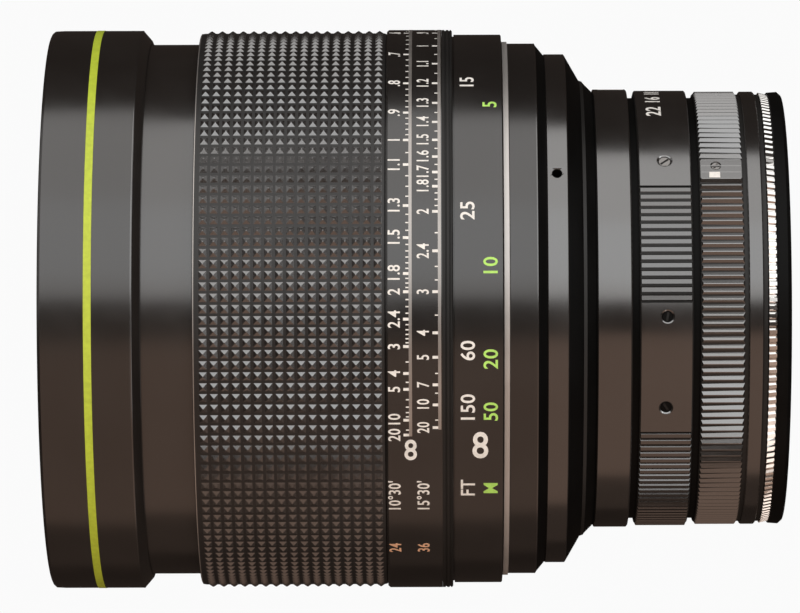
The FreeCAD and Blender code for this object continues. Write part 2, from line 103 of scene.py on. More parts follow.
def whole_number(label, about, default, least):
    return IntProperty(name=label, description=about, default=default, min=least)


def paint_colour(label, about, default):
    return FloatVectorProperty(
        name=label, description=about, subtype="COLOR", size=3, default=default, min=0, max=1)


class GripSizes(bpy.types.PropertyGroup):
    """Studs of the focusing grip."""
    columns: whole_number("Columns", "Studs along the axis", 17, 1)
    rows: whole_number("Rows", "Studs round the grip", 160, 3)
    pitch: millimetres("Column pitch", "Distance between columns", 1.455)
    base: millimetres("Stud base", "Width of a stud at its foot", 1.3)
    top: millimetres("Stud top", "Width of a stud at its top", 0.12)
    height: millimetres("Stud height", "Height of a stud", 0.31)


class RibSizes(bpy.types.PropertyGroup):
    """Ribs of the aperture ring and the lock ring."""
    count: whole_number("Ribs", "Ribs that a full turn would hold", 172, 3)
    base: millimetres("Rib base", "Width of a rib at its foot", 1.02)
    top: millimetres("Lock rib top", "Width of a lock ring's rib at its top", 0.12)
    wide_top: millimetres("Aperture rib top", "Width of an aperture ring's rib at its top", 0.58)
    height: millimetres("Rib height", "Height of a rib", 0.305)


class ScaleSizes(bpy.types.PropertyGroup):
    """What sets the marks of the distance scale and the field scales."""
    focal_length: millimetres("Focal length", "Focal length that the scales are made for", 135)
    travel_per_degree: millimetres(
        "Travel per degree", "Forward travel for each degree of the ring", 0.0501)
    infinity: degrees("Infinity mark", "Angle of the infinity mark from the top", 118.5)
    field_infinity: degrees("Field infinity mark", "The same for the field scales", 119.0)
    distance_numerals: millimetres("Distance numerals", "Height of the distance numerals", 1.95)
    field_numerals: millimetres("Field numerals", "Height of the field numerals", 1.65)
    paint: millimetres("Paint thickness", "How far marks stand above their ring", 0.02)


class LensColours(bpy.types.PropertyGroup):
    """Colours of the finishes."""
    black: paint_colour("Black metal", "Anodised rings", (0.0095, 0.0082, 0.0075))
    enamel: paint_colour("Black enamel", "Hood and front barrel", (0.011, 0.0092, 0.0082))
    white: paint_colour("White paint", "Numerals and lines", (0.78, 0.75, 0.71))
    green: paint_colour("Green paint", "Metre numerals", (0.42, 0.72, 0.14))
    line: paint_colour("Hood line", "Painted line round the hood", (0.46, 0.55, 0.045))
    amber: paint_colour("Amber paint", "Picture sides beside the field scales", (0.74, 0.43, 0.27))


PROPERTY_GROUPS = (
    ("lens_grip", GripSizes),
    ("lens_ribs", RibSizes),
    ("lens_scales", ScaleSizes),
    ("lens_colours", LensColours),
)


# Places and outlines

def span(node):
    """Front station, rear station and outer radius of a solid, in millimetres."""
    low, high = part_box(node)
    return low.x / MM, high.x / MM, high.z / MM


def on_ring(station, radius, angle):
    """Point in metres at a station and radius in millimetres, an angle from the top."""
    turn = math.radians(angle)
    return Vector((station, -radius * math.sin(turn), radius * math.cos(turn))) * MM


def strip(front, back, low, high, front_cut=0.0, back_cut=0.0):
    """The outline of a plain ring, with a chamfer on either outer corner."""
    return [(front, low), (front, high, front_cut), (back, high, back_cut), (back, low)]


def with_chamfers(outline):
    """The outline, with a corner that names a chamfer cut by that much along both edges."""
    cut = []
    for index, point in enumerate(outline):
        here = Vector(point[:2])
        if any(point[2:]):
            for beside in (outline[index - 1], outline[(index + 1) % len(outline)]):
                cut.append(here + (Vector(beside[:2]) - here).normalized() * point[2])
        else:
            cut.append(here)
    return cut


# Shapes

SQUARE = ((-1, -1), (1, -1), (1, 1), (-1, 1))


def bridge(shape, here, there):
    """Joins two closed rows of corners by faces."""
    for i in range(len(here)):
        j = (i + 1) % len(here)
        shape.faces.new((here[i], here[j], there[j], there[i]))


def cap(shape, low, high):
    """Closes both ends of what lies between two rows of corners."""
    shape.faces.new(reversed(low))
    shape.faces.new(high)


def circle(shape, radius, height, sides):
    """Adds a circle of corners round Z; millimetres."""
    turns = [2 * math.pi * i / sides for i in range(sides)]
    return [shape.verts.new(Vector((
        radius * math.cos(turn), radius * math.sin(turn), height)) * MM) for turn in turns]


def add_turning(shape, outline, first=0.0, sweep=360.0, steps=ROUND_STEPS):
    """Adds a closed outline of stations and radii turned about the optical axis."""
    points = with_chamfers(outline)
    part = sweep < 360.0
    gaps = max(2, round(steps * sweep / 360.0))
    rows = [[shape.verts.new(on_ring(x, r, first + sweep * ring / gaps)) for x, r in points]
            for ring in range(gaps + part)]
    for ring in range(gaps):
        bridge(shape, rows[ring], rows[(ring + 1) % len(rows)])
    if part:
        cap(shape, rows[0], rows[-1])


def turned(*outlines, **sweep):
    """A shape that holds each outline turned about the optical axis."""
    shape = bmesh.new()
    for outline in outlines:
        add_turning(shape, outline, **sweep)
    return shape


def lens_shape(front, back, radius, front_curve, rear_curve, steps=128, rings=24):
    """A lens whose faces bulge by their curve radii; a curve of 0 is a flat face."""
    def height(curve, r):
        return curve - math.sqrt(curve * curve - r * r) if curve else 0.0

    shape = bmesh.new()
    radii = [radius * i / rings for i in range(rings + 1)]
    profile = [(front + height(front_curve, r), r) for r in radii]
    profile += [(back - height(rear_curve, r), r) for r in reversed(radii)]
    around = [[shape.verts.new(on_ring(x, r, 360 * i / steps)) for i in range(steps)]
              for x, r in profile[1:-1]]
    for here, there in zip(around, around[1:]):
        bridge(shape, here, there)
    for (x, _), row in ((profile[0], around[0]), (profile[-1], around[-1])):
        pole = shape.verts.new(on_ring(x, 0, 0))
        for i in range(steps):
            shape.faces.new((pole, row[i], row[i - 1]))
    return shape


def cylinder(radius, depth, sides=24):
    """A cylinder round Z with its middle at the origin; millimetres."""
    shape = bmesh.new()
    bmesh.ops.create_cone(
        shape, cap_ends=True, segments=sides, radius1=radius * MM, radius2=radius * MM,
        depth=depth * MM)
    return shape


def tapered_block(length, base, top_length, top, foot, height, fall=0.0):
    """A block with sloping sides: X is its length, Y its width; its rear end lies lower."""
    shape = bmesh.new()

    low, high = ([shape.verts.new(Vector((
        x * long / 2, y * wide / 2, level - fall * (x + 1) / 2)) * MM) for x, y in SQUARE]
        for long, wide, level in ((length, base, foot), (top_length, top, height)))
    cap(shape, low, high)
    bridge(shape, low, high)
    return shape


def rib_shape(ribs, length, slope, top):
    """A rib of a ring, shorter by its slopes at the top and that wide there."""
    return tapered_block(
        length, ribs.base / MM, length - slope, top / MM, -0.08, ribs.height / MM)


def screw_shape(radius, height, slot):
    """A screw head with a slot across its top, standing on Z = 0; millimetres."""
    shape = bmesh.new()
    sides, half = 20, 10
    rim, floor, reach = radius * 0.14, height * 0.45, radius * 0.8
    rings = [circle(shape, r, z, sides) for r, z in (
        (radius, 0.0), (radius, height - rim), (radius - rim, height))]
    for low, high in zip(rings, rings[1:]):
        bridge(shape, low, high)
    shape.faces.new(reversed(rings[0]))
    mouth, deep = ([shape.verts.new(Vector((x * reach, y * slot / 2, z)) * MM)
                    for x, y in SQUARE] for z in (height, floor))
    shape.faces.new(deep)
    bridge(shape, mouth, deep)
    top = rings[-1]
    shape.faces.new(top[half:] + [top[0], mouth[1], mouth[0]])
    shape.faces.new(top[:half + 1] + [mouth[3], mouth[2]])
    shape.faces.new((top[0], mouth[2], mouth[1]))
    shape.faces.new((top[half], mouth[0], mouth[3]))
    return shape


def collar_shape(outer, inner, sink, depth, sides=24):
    """A ring with a sloping mouth that lines a bored hole, its top at Z = 0; millimetres."""
    shape = bmesh.new()
    around = [circle(shape, r, z, sides) for r, z in (
        (outer, 0.0), (inner, -sink), (inner, -depth), (outer, -depth))]
    for here, there in zip(around, around[1:] + around[:1]):
        bridge(shape, here, there)
    return shape


def stand(shape, station, radius, angle, spin=0.0, rearwards=False):
    """Stands a shape at a station, a radius and an angle, facing outwards or rearwards."""
    turn, axis = (90, "Y") if rearwards else (angle, "X")
    bmesh.ops.transform(shape, verts=shape.verts, matrix=(
        Matrix.Translation(on_ring(station, radius, angle))
        @ Matrix.Rotation(math.radians(turn), 4, axis)
        @ Matrix.Rotation(math.radians(spin), 4, "Z")))
    return shape


# Objects and pieces

def new_object(name, data):
    """An object at the origin of the scene."""
    thing = bpy.data.objects.new(name, data)
    bpy.context.scene.collection.objects.link(thing)
    return thing


def object_from(name, shape, look, smooth=True):
    """An object made from a bmesh, with outward faces and smooth where nearly flat."""
    bmesh.ops.recalc_face_normals(shape, faces=shape.faces)
    mesh = bpy.data.meshes.new(name)
    shape.to_mesh(mesh)
    shape.free()
    if smooth:
        mesh.polygons.foreach_set("use_smooth", [True] * len(mesh.polygons))
        mesh.set_sharp_from_angle(angle=SMOOTH_BELOW)
    mesh.materials.append(finish(look))
    return new_object(name, mesh)


def carried(thing, body, slot, *nodes):
    """Puts a finished piece on its body and hides the solids it stands for; slot is not used."""
    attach(thing, body)
    if nodes:
        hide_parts(*nodes)


def add_piece(name, shape, look, body, *nodes, slot="black_barrel", smooth=True):
    """Makes a shape into a finished piece on its body."""
    carried(object_from(name, shape, look, smooth), body, slot, *nodes)


def add_ring(name, outline, look, body, *nodes, slot="black_barrel", **sweep):
    """Makes an outline turned about the optical axis into a finished piece."""
    add_piece(name, turned(outline, **sweep), look, body, *nodes, slot=slot)


def add_edge_line(name, station, radius, *look_and_body, **slot):
    """The fine light line along an edge."""
    half, sunk, proud = 0.06, 0.06, 0.012
    add_ring(name, strip(station - half, station + half, radius - sunk, radius + proud),
             *look_and_body, **slot)


def add_bars(name, body, *rows):
    """Flat painted bars: front, back, radius, angle, width and half thickness of each."""
    shape = bmesh.new()
    for front, back, radius, angle, width, rise in rows:
        half = math.degrees(width / 2 / radius)
        low, high = ([shape.verts.new(on_ring(back if x > 0 else front, r, angle + y * half))
                      for x, y in SQUARE] for r in (radius - rise, radius + rise))
        cap(shape, low, high)
        bridge(shape, low, high)
    add_piece(name, shape, "white paint", body, smooth=False)


def add_screw(name, radius, height, slot, body, *place, look="screw steel", **facing):
    """A screw head that stands at a place, its slot turned; see stand."""
    screw = stand(screw_shape(radius, height, slot), *place, **facing)
    add_piece(name, screw, look, body, slot="steel", smooth=False)


def add_glass(name, node, front_curve, rear_curve, look, **fineness):
    """A curved glass in place of a solid."""
    front, back, radius = span(node)
    shape = lens_shape(front, back, radius - HAIR, front_curve, rear_curve, **fineness)
    add_piece(name, shape, look, "barrel", node, slot="coated_glass")


def evaluated_mesh(thing):
    """A new mesh of an object with its modifiers."""
    bpy.context.view_layer.update()
    return bpy.data.meshes.new_from_object(
        thing.evaluated_get(bpy.context.evaluated_depsgraph_get()))


def settle(thing):
    """Turns an object's modifiers into its plain mesh."""
    mesh = evaluated_mesh(thing)
    if not mesh.polygons:
        raise RuntimeError(f"{thing.name} came out empty")
    thing.modifiers.clear()
    thing.data = mesh


def cut_away(thing, shape):
    """Cuts a shape out of an object."""
    cutter = object_from("bore", shape, "black metal")
    cut = thing.modifiers.new("cut", "BOOLEAN")
    cut.operation = "DIFFERENCE"
    cut.solver = "EXACT"
    cut.object = cutter
    settle(thing)
    bpy.data.objects.remove(cutter)


def shade_round(thing, radius):
    """Gives the corners that lie on a radius, in millimetres, the normals of that round face."""
    near, facing = 2e-6, 0.99
    mesh = thing.data
    normals = [corner.vector.copy() for corner in mesh.corner_normals]
    for face in mesh.polygons:
        for loop in face.loop_indices:
            place = mesh.vertices[mesh.loops[loop].vertex_index].co
            outward = Vector((0, place.y, place.z))
            away = abs(outward.length - radius * MM)
            outward.normalize()
            if away < near and face.normal.dot(outward) > facing:
                normals[loop] = outward
    mesh.normals_split_custom_set(normals)


def add_bored(name, shape, body, radius, *bores):
    """A glossy round piece with bores of a station, an angle, a radius and a depth."""
    thing = object_from(name, shape, "glossy black")
    for station, angle, bore, depth in bores:
        cut_away(thing, stand(cylinder(bore, depth), station, radius, angle))
    shade_round(thing, radius)
    carried(thing, body, "black_barrel")


def dress(node, look):
    """Gives a solid that stays as it is one of the finishes."""
    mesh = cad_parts[node].data
    mesh.materials.clear()
    mesh.materials.append(finish(look))


# Node trees

def node_maker(tree):
    """A function that adds a node with its settings and what its inputs are linked to."""
    def make(kind, settings=None, **sources):
        node = tree.nodes.new(kind)
        for name, setting in (settings or {}).items():
            if hasattr(node, name):
                setattr(node, name, setting)
            else:
                node.inputs[name].default_value = setting
        feed(tree, node, **sources)
        return node
    return make


def feed(tree, node, **sources):
    """Links sockets, or the first outputs of nodes, to a node's named inputs."""
    for name, source in sources.items():
        if isinstance(source, bpy.types.Node):
            source = source.outputs[0]
        tree.links.new(source, node.inputs[name.replace("_", " ")])


def repeat_tree():
    """A node tree that sets copies of a shape in rows and columns round the optical axis."""
    name = "lens_repeat_round_axis"
    if name in bpy.data.node_groups:
        return bpy.data.node_groups[name]
    tree = bpy.data.node_groups.new(name, "GeometryNodeTree")
    for label, kind in (
            ("Geometry", "Geometry"), ("Shape", "Object"), ("Rows", "Int"), ("Columns", "Int"),
            ("First angle", "Float"), ("Angle step", "Float"), ("Radius", "Float"),
            ("Station", "Float"), ("Column pitch", "Float"), ("Finish", "Material")):
        tree.interface.new_socket(label, in_out="INPUT", socket_type="NodeSocket" + kind)
    tree.interface.new_socket("Geometry", in_out="OUTPUT", socket_type="NodeSocketGeometry")
    make = node_maker(tree)
    given = make("NodeGroupInput").outputs

    def calc(operation, *values):
        node = make("ShaderNodeMath", {"operation": operation})
        for socket, value in zip(node.inputs, values):
            if isinstance(value, float):
                socket.default_value = value
            else:
                tree.links.new(value, socket)
        return node.outputs[0]

    index = make("GeometryNodeInputIndex").outputs[0]
    row = calc("FLOOR", calc("DIVIDE", calc("ADD", index, 0.5), given["Columns"]))
    column = calc("SUBTRACT", index, calc("MULTIPLY", row, given["Columns"]))
    angle = calc("ADD", given["First angle"], calc("MULTIPLY", row, given["Angle step"]))
    turn = make("FunctionNodeEulerToRotation", Euler=make("ShaderNodeCombineXYZ", X=angle))
    station = calc("ADD", given["Station"], calc("MULTIPLY", column, given["Column pitch"]))
    on_top = make("ShaderNodeCombineXYZ", X=station, Z=given["Radius"])
    place = make("FunctionNodeRotateVector", Vector=on_top, Rotation=turn)
    count = calc("MULTIPLY", given["Rows"], given["Columns"])
    points = make("GeometryNodePoints", Count=count, Position=place)
    shape = make("GeometryNodeObjectInfo", Object=given["Shape"]).outputs["Geometry"]
    copies = make("GeometryNodeInstanceOnPoints", Points=points, Instance=shape, Rotation=turn)
    real = make("GeometryNodeRealizeInstances", Geometry=copies)
    coloured = make("GeometryNodeSetMaterial", Geometry=real, Material=given["Finish"])
    make("NodeGroupOutput", Geometry=coloured)
    return tree


def add_repeated(name, shape, look, body, rows, radius, station, first_angle=0.0,
                 angle_step=None, columns=1, column_pitch=0.0, slot="black_barrel"):
    """Copies of a shape set round the axis, as one piece; millimetres and degrees.

    The shape stands on the top of a ring: X along the axis and Z outwards.
    """
    pattern = object_from(name + "_pattern", shape, look, smooth=False)
    thing = new_object(name, bpy.data.meshes.new(name))
    modifier = thing.modifiers.new("repeat", "NODES")
    modifier.node_group = repeat_tree()
    values = {
        "Shape": pattern, "Rows": rows, "Columns": columns,
        "First angle": math.radians(first_angle),
        "Angle step": math.radians(angle_step or 360.0 / rows),
        "Radius": radius * MM, "Station": station * MM, "Column pitch": column_pitch * MM,
        "Finish": finish(look),
    }
    for item in modifier.node_group.interface.items_tree:
        if item.in_out == "INPUT" and item.name in values:
            modifier[item.identifier] = values[item.name]
    settle(thing)
    bpy.data.objects.remove(pattern)
    carried(thing, body, slot)


# Painted marks

def add_numerals(name, marks, height, radius, paint, body, rise, lying=False, narrow=1.0):
    """Numbers wrapped on a ring, read with the front of the lens up, as one piece.

    Each mark is (text, station of its foot, angle of its middle). A mark that lies on its
    side is placed by its middle instead. Below 1, narrow presses the letters together.
    """
    capital_height = 0.729          # of a letter of size 1
    shape = bmesh.new()
    for text, foot, angle in marks:
        curve = bpy.data.curves.new("numeral", "FONT")
        curve.body = text
        curve.size = height / capital_height
        curve.extrude = rise
        curve.offset = height * 0.018
        curve.resolution_u = 4
        curve.align_x = "CENTER"
        curve.space_character = 1.06
        words = new_object("numeral", curve)
        flat = evaluated_mesh(words)
        piece = bmesh.new()
        piece.from_mesh(flat)
        bmesh.ops.remove_doubles(piece, verts=piece.verts, dist=height * 1e-4)
        middle = math.radians(angle)
        for vert in piece.verts:
            along, up, out = vert.co
            along *= narrow
            if lying:
                along, up = up - height / 2, -along
            turn = middle - along / (radius * MM)
            r = radius * MM + out
            vert.co = (foot * MM - up, -r * math.sin(turn), r * math.cos(turn))
        piece.to_mesh(flat)
        piece.free()
        shape.from_mesh(flat)
        bpy.data.objects.remove(words)
        bpy.data.curves.remove(curve)
        bpy.data.meshes.remove(flat)
    add_piece(name, shape, paint, body, smooth=False)


def scale_steps(ranges):
    """Values from (start, stop, step) ranges, each once."""
    return sorted({round(start + i * step, 3) for start, stop, step in ranges
                   for i in range(round((stop - start) / step) + 1)})


# Finishes

def rgb(colour):
    """A colour as it is, or the one that a property of the lens's colours holds."""
    return getattr(bpy.context.scene.lens_colours, colour) if isinstance(colour, str) else colour


def start_surface(tree, **sockets):
    """Sets a shader's sockets; returns what makes nodes, noise and links, and the coordinates."""
    shader = tree.nodes["Principled BSDF"]
    for socket, setting in sockets.items():
        shader.inputs[socket.replace("_", " ")].default_value = setting
    make = node_maker(tree)
    place = make("ShaderNodeTexCoord").outputs["Object"]

    def noise(scale, detail, roughness=0.5, vector=place):
        return make("ShaderNodeTexNoise", {
            "Scale": scale, "Detail": detail, "Roughness": roughness}, Vector=vector)

    return make, noise, partial(feed, tree, shader), place


def colour_ramp(make, noise, *stops):
    """A ramp between two stops, each a position and a colour."""
    ramp = make("ShaderNodeValToRGB", Fac=noise)
    for element, (position, colour) in zip(ramp.color_ramp.elements, stops):
        element.position, element.color = position, (*colour, 1)
    return ramp


BUMP_HEIGHT = 0.00002


def turned_metal(colour, roughness, spread, turning, grain, tree, metallic=0.0, specular=1.0,
                 ior=1.5):
    """Metal or enamel with fine turning lines round the axis, grain and patchy gloss."""
    along, across, grains, patches, dust = 2600.0, 12.0, 5200.0, 90.0, 0.25
    make, noise, feed_shader, place = start_surface(
        tree, Metallic=metallic, Specular_IOR_Level=specular, IOR=ior)
    colour = rgb(colour)
    dusty = [channel * (1 + dust) + 0.004 * dust for channel in colour]
    patchy = noise(patches, 6.0, 0.62)
    gloss = make("ShaderNodeMapRange", {
        "From Min": 0.3, "From Max": 0.7, "To Min": roughness - spread,
        "To Max": roughness + spread}, Value=patchy)
    lines = make("ShaderNodeMapping", {"Scale": (along, across, across)}, Vector=place)
    line_bump = make("ShaderNodeBump", {"Strength": turning, "Distance": BUMP_HEIGHT},
                     Height=noise(1.0, 2.0, vector=lines))
    bump = make("ShaderNodeBump", {"Strength": grain, "Distance": BUMP_HEIGHT},
                Height=noise(grains, 3.0), Normal=line_bump)
    feed_shader(Base_Color=colour_ramp(make, patchy, (0.42, colour), (0.78, dusty)),
                Roughness=gloss, Normal=bump)


def painted(colour, tree, roughness=0.45):
    """Filled paint with a little unevenness."""
    make, noise, feed_shader, _ = start_surface(tree, Specular_IOR_Level=0.35)
    colour = rgb(colour)
    worn = [channel * 0.82 for channel in colour]
    uneven = noise(1400.0, 4.0)
    gloss = make("ShaderNodeMapRange", {"To Min": roughness - 0.1, "To Max": roughness + 0.1},
                 Value=uneven)
    bump = make("ShaderNodeBump", {"Strength": 0.1, "Distance": BUMP_HEIGHT}, Height=uneven)
    feed_shader(Base_Color=colour_ramp(make, uneven, (0.3, worn), (0.65, colour)),
                Roughness=gloss, Normal=bump)


def coated_glass(tint, film, tree):
    """Clear glass with a thin coating that colours its reflections, and a little dust."""
    make, noise, feed_shader, _ = start_surface(
        tree, Base_Color=(*tint, 1), Roughness=0.0, IOR=1.52, Transmission_Weight=1.0,
        Thin_Film_Thickness=film, Thin_Film_IOR=1.38)
    feed_shader(Roughness=make("ShaderNodeMapRange", {
        "From Min": 0.55, "From Max": 0.8, "To Min": 0.0, "To Max": 0.05},
        Value=noise(260.0, 8.0, 0.7)))


def glowing(colour, tree):
    """A surface that is its colour whatever the light."""
    tree.nodes.clear()
    make = node_maker(tree)
    make("ShaderNodeOutputMaterial", Surface=make("ShaderNodeEmission", {"Color": colour}))


metal = partial(partial, turned_metal)

# A metal has its colour, roughness, the spread of that, and the depth of turning and grain
FINISHES = {
    "black metal": metal("black", 0.22, 0.03, 0.04, 0.03),
    "glossy black": metal("black", 0.2, 0.03, 0.04, 0.03, ior=1.8),
    # Deep black is also painted shade: it darkens the groove and rear cone slopes, the journal
    # gap, a hole's lining and two sunk screws
    "deep black": metal((0.0016, 0.0015, 0.0014), 0.5, 0.05, 0.04, 0.03, specular=0.1),
    "matte black": metal((0.008, 0.0075, 0.007), 0.45, 0.06, 0.04, 0.03, specular=0.35),
    "cut black": metal((0.013, 0.0115, 0.0105), 0.17, 0.03, 0.0, 0.05, ior=2.05),
    "black enamel": metal("enamel", 0.21, 0.03, 0.015, 0.04),
    "barrel enamel": metal("enamel", 0.21, 0.03, 0.015, 0.04, ior=1.6),
    "stud black": metal((0.014, 0.0125, 0.012), 0.2, 0.04, 0.0, 0.08, ior=1.95),
    "stud floor": metal((0.009, 0.0082, 0.0078), 0.42, 0.06, 0.0, 0.2, specular=0.5),
    "baffle black": metal((0.006, 0.006, 0.006), 0.6, 0.08, 0.2, 0.2, specular=0.25),
    "chrome": metal((0.62, 0.61, 0.585), 0.47, 0.04, 0.05, 0.02, metallic=0.72),
    "bright metal": metal((0.48, 0.455, 0.435), 0.42, 0.05, 0.15, 0.04, metallic=0.65),
    "worn edge": metal((0.36, 0.335, 0.315), 0.36, 0.05, 0.05, 0.06, metallic=0.8),
    "screw steel": metal((0.26, 0.25, 0.24), 0.3, 0.06, 0.05, 0.1, metallic=1.0),
    "blade steel": metal((0.045, 0.046, 0.05), 0.36, 0.06, 0.05, 0.1, metallic=0.6),
    "white paint": partial(painted, "white"),
    "green paint": partial(painted, "green"),
    "hood line": partial(painted, "line", roughness=0.4),
    "amber paint": partial(painted, "amber"),
    "front glass": partial(coated_glass, (0.97, 0.96, 0.9), 420.0),
    "inner glass": partial(coated_glass, (0.95, 0.97, 0.96), 330.0),
    "floor": partial(glowing, PALE),
}


def finish(name):
    """One of the lens's finishes, made when it is first asked for."""
    material = bpy.data.materials.get(name)
    if material is None:
        material = bpy.data.materials.new(name)
        material.use_nodes = True
        FINISHES[name](material.node_tree)
    return material


# Pieces

class PieceOperator:
    """What the lens's operators share."""
    bl_options = {"REGISTER", "UNDO"}

    def execute(self, context):
        self.build(context.scene)
        return {"FINISHED"}


class LENS_OT_hood(PieceOperator, bpy.types.Operator):
    """Sliding hood with its painted line"""
    bl_idname = "lens.hood"
    bl_label = "Hood"

    def build(self, scene):
        front, back, radius = span("hood")
        rim = radius - 0.05
        line_front, line_back, line_floor = -94.65, -93.55, rim - 0.12
        outline = [
            (front, BARREL_BORE, 0.1), (front, rim - 0.4, 0.15), (front + 0.4, rim - 0.06),
            (front + 1.6, rim), (line_front, rim), (line_front, line_floor),
            (line_back, line_floor), (line_back, rim), (back - 1.2, rim, 0.15),
            (back, rim - 1.4, 0.1), (back, BARREL_BORE, 0.1),
        ]
        grooves, pitch, width, depth = 8, 1.2, 0.6, 0.25
        for groove in range(grooves):
            station = back - 1.6 - groove * pitch
            outline += [(station, BARREL_BORE), (station - width / 2, BARREL_BORE + depth),
                        (station - width, BARREL_BORE)]
        add_ring("hood_shell", outline, "black enamel", "hood", "hood", slot="black_satin")
        line = strip(line_front + 0.03, line_back - 0.03, line_floor + 0.01, radius - 0.01)
        add_ring("hood_line", line, "hood line", "hood", slot="black_satin")
        add_edge_line("hood_edge", back - 1.25, rim, "glossy black", "hood", slot="black_satin")


class LENS_OT_front(PieceOperator, bpy.types.Operator):
    """Filter thread, name ring and glass at the front of the barrel"""
    bl_idname = "lens.front"
    bl_label = "Front"

    def build(self, scene):
        dress("front_barrel", "barrel enamel")
        front = span("front_barrel")[0]
        thread_radius, crest, pitch, turns = 35.72, 35.36, 0.75, 4
        root = thread_radius - 0.04
        outline = [(front + 0.1, thread_radius)]
        for turn in range(turns):
            start = front + 0.15 + turn * pitch
            outline += [(start, root), (start + pitch * 0.42, crest),
                        (start + pitch * 0.58, crest), (start + pitch, root)]
        outline.append((front + 3.35, thread_radius))
        add_ring("filter_thread", outline, "black metal", "barrel")

        ring_front, ring_back, ring_radius = span("name_ring")
        glass_radius = span("front_element")[2]
        steps, inner, foot = 9, glass_radius + 0.02, ring_back - 0.5
        outline = [(ring_back, inner), (foot, inner)]
        run = (ring_radius - 0.25 - glass_radius) / steps
        rise = (foot - ring_front - 0.3) / steps
        for step in range(steps):
            r = inner + step * run
            x = foot - step * rise
            outline += [(x - rise, r + run * 0.15), (x - rise, r + run)]
        outline += [(ring_front, ring_radius - 0.2, 0.08), (ring_front, ring_radius - 0.02),
                    (ring_back, ring_radius - 0.02)]
        add_ring("front_ring", outline, "baffle black", "barrel", "name_ring", slot="black_satin")
        add_glass("front_glass", "front_element", 90.0, 0.0, "front glass")
        add_glass("second_glass", "second_element", 78.0, 0.0, "front glass")


class LENS_OT_inside(PieceOperator, bpy.types.Operator):
    """Rear cell, rear glass, iris and the parts that guide the barrel"""
    bl_idname = "lens.inside"
    bl_label = "Inside"

    def build(self, scene):
        for node, look in (("rear_cell", "baffle black"), ("guide_key", "screw steel"),
                           ("iris_ring", "blade steel"), ("helicoid_tube", "bright metal")):
            dress(node, look)
        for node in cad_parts:
            if node.startswith("iris_blade"):
                dress(node, "blade steel")
        add_glass("rear_glass", "rear_element", 0.0, 70.0, "inner glass", steps=96)
        rim = span("rear_element")[2]
        cell_back = span("rear_cell")[1]
        add_ring("rear_glass_ring", [
            (cell_back - 0.45, rim - 1.3), (cell_back - 0.1, rim - 1.3, 0.1),
            (cell_back - 0.1, rim - 0.02), (cell_back - 0.55, rim - 0.02),
        ], "black metal", "barrel")


class LENS_OT_grip(PieceOperator, bpy.types.Operator):
    """Studded focusing grip"""
    bl_idname = "lens.grip"
    bl_label = "Grip"

    def build(self, scene):
        sizes = scene.lens_grip
        base, top, height, pitch = (
            size / MM for size in (sizes.base, sizes.top, sizes.height, sizes.pitch))
        front, back, radius = span("focus_grip")
        floor = radius - height
        add_ring("grip_base", [
            (front, GRIP_BORE), (front, floor - 0.1, 0.1), (front + 0.5, floor),
            (back - 0.45, floor), (back, floor - 0.1, 0.1), (back, GRIP_BORE),
        ], "stud floor", "focus", "focus_grip", slot="black_grip", steps=320)
        middle = (front + back) / 2 + 0.2
        stud = tapered_block(base, base * 1.04, top, top, -0.08, height)
        add_repeated(
            "grip_studs", stud, "stud black", "focus", sizes.rows, floor,
            middle - (sizes.columns - 1) * pitch / 2, first_angle=90, columns=sizes.columns,
            column_pitch=pitch, slot="black_grip")
        add_edge_line("grip_edge", front + 0.14, floor - 0.06, "worn edge", "focus")


